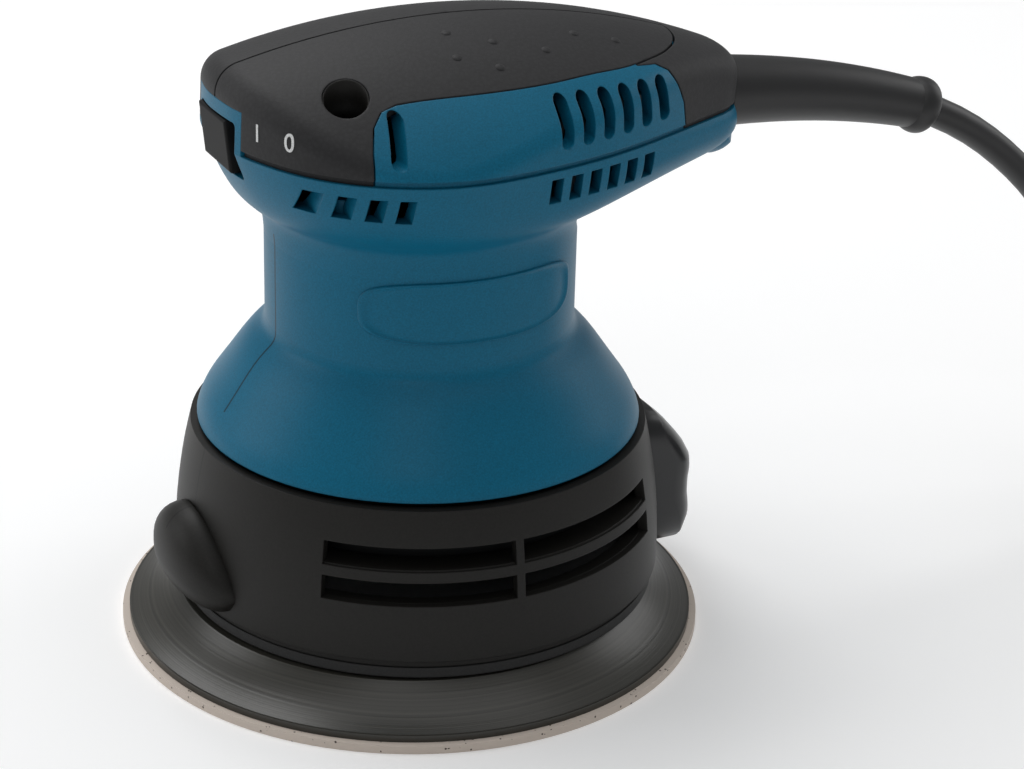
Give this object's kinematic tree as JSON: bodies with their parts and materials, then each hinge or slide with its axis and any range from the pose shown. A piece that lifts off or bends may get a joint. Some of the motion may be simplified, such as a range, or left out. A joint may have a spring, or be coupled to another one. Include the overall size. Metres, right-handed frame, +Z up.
{
  "type": "orbital sander",
  "caption": "Palm-held random orbit sander with a round pad and dust skirt, a waisted motor housing, a soft-covered grip head, a side-sliding switch and a mains cord with plug.",
  "frame": {"origin": "on the floor under the sanding disc, on the motor axis, which stands 1.4 mm in front of the centre of the pad", "axes": "+Z up along the motor axis, -X towards the switch, +X towards the dust outlet and the cord, +Y to the right seen from the switch"},
  "size_m": [0.3309, 0.1715, 0.1336],
  "materials": {
    "abrasive": "matt",
    "pad_rubber": "matt",
    "black_plastic": "grained",
    "blue_plastic": "fine grain",
    "grip_rubber": "grained",
    "cord_rubber": "matt",
    "steel": "machined",
    "bearing_steel": "ground",
    "alloy": "cast",
    "core_steel": "laminated",
    "copper": "enamelled wire",
    "brass": "stamped",
    "carbon": "pressed carbon",
    "fan_plastic": "moulded"
  },
  "bodies": {
    "housing": {"baffle_plate": "alloy", "bearing_bracket": "alloy", "bearing_sleeve": "pad_rubber", "bracket_screws": "steel", "brake_ring": "pad_rubber", "brush_holders": "brass", "brush_springs": "steel", "capacitor": "black_plastic", "carbon_brushes": "carbon", "clamp_screws": "steel", "cord_clamp": "black_plastic", "cord_coil": "cord_rubber", "cord_guard": "cord_rubber", "deck_plate": "fan_plastic", "dust_nozzle": "black_plastic", "dust_skirt": "black_plastic", "field_coils": "copper", "field_core": "core_steel", "grip_left": "grip_rubber", "grip_right": "grip_rubber", "handle_shell": "blue_plastic", "housing_screws": "steel", "lead_wires": "cord_rubber", "lower_bearing_outer": "bearing_steel", "motor_housing": "blue_plastic", "plug_body": "cord_rubber", "plug_pins": "brass", "power_cord": "cord_rubber", "rear_cap": "black_plastic", "switch_body": "black_plastic", "upper_bearing_outer": "bearing_steel"},
    "rotor": {"rotor_shaft": "steel", "armature_core": "core_steel", "armature_winding": "copper", "commutator": "copper", "cooling_fan": "fan_plastic", "eccentric_hub": "alloy", "dust_fan": "fan_plastic", "counterweight": "core_steel", "lower_bearing_inner": "bearing_steel", "lower_bearing_balls": "bearing_steel", "upper_bearing_inner": "bearing_steel", "upper_bearing_balls": "bearing_steel", "pad_bearing_outer": "bearing_steel"},
    "pad": {"sanding_disc": "abrasive", "sanding_pad": "pad_rubber", "pad_plate": "steel", "pad_spindle": "steel", "pad_bolt": "steel", "pad_washer": "steel", "pad_bearing_inner": "bearing_steel", "pad_bearing_balls": "bearing_steel"},
    "switch_lever": {"switch_lever": "black_plastic"}
  },
  "joints": [
    {"name": "rotor_spin", "type": "hinge", "parent": "housing", "child": "rotor", "pos_m": [0, 0, 0.042], "axis": [0, 0, 1], "continuous": true},
    {"name": "pad_spin", "type": "hinge", "parent": "rotor", "child": "pad", "pos_m": [-0.0014, 0, 0.019], "axis": [0, 0, 1], "continuous": true},
    {"name": "switch_slide", "type": "slide", "parent": "housing", "child": "switch_lever", "axis": [0, -1, 0], "range_m": [0, 0.0032]}
  ]
}
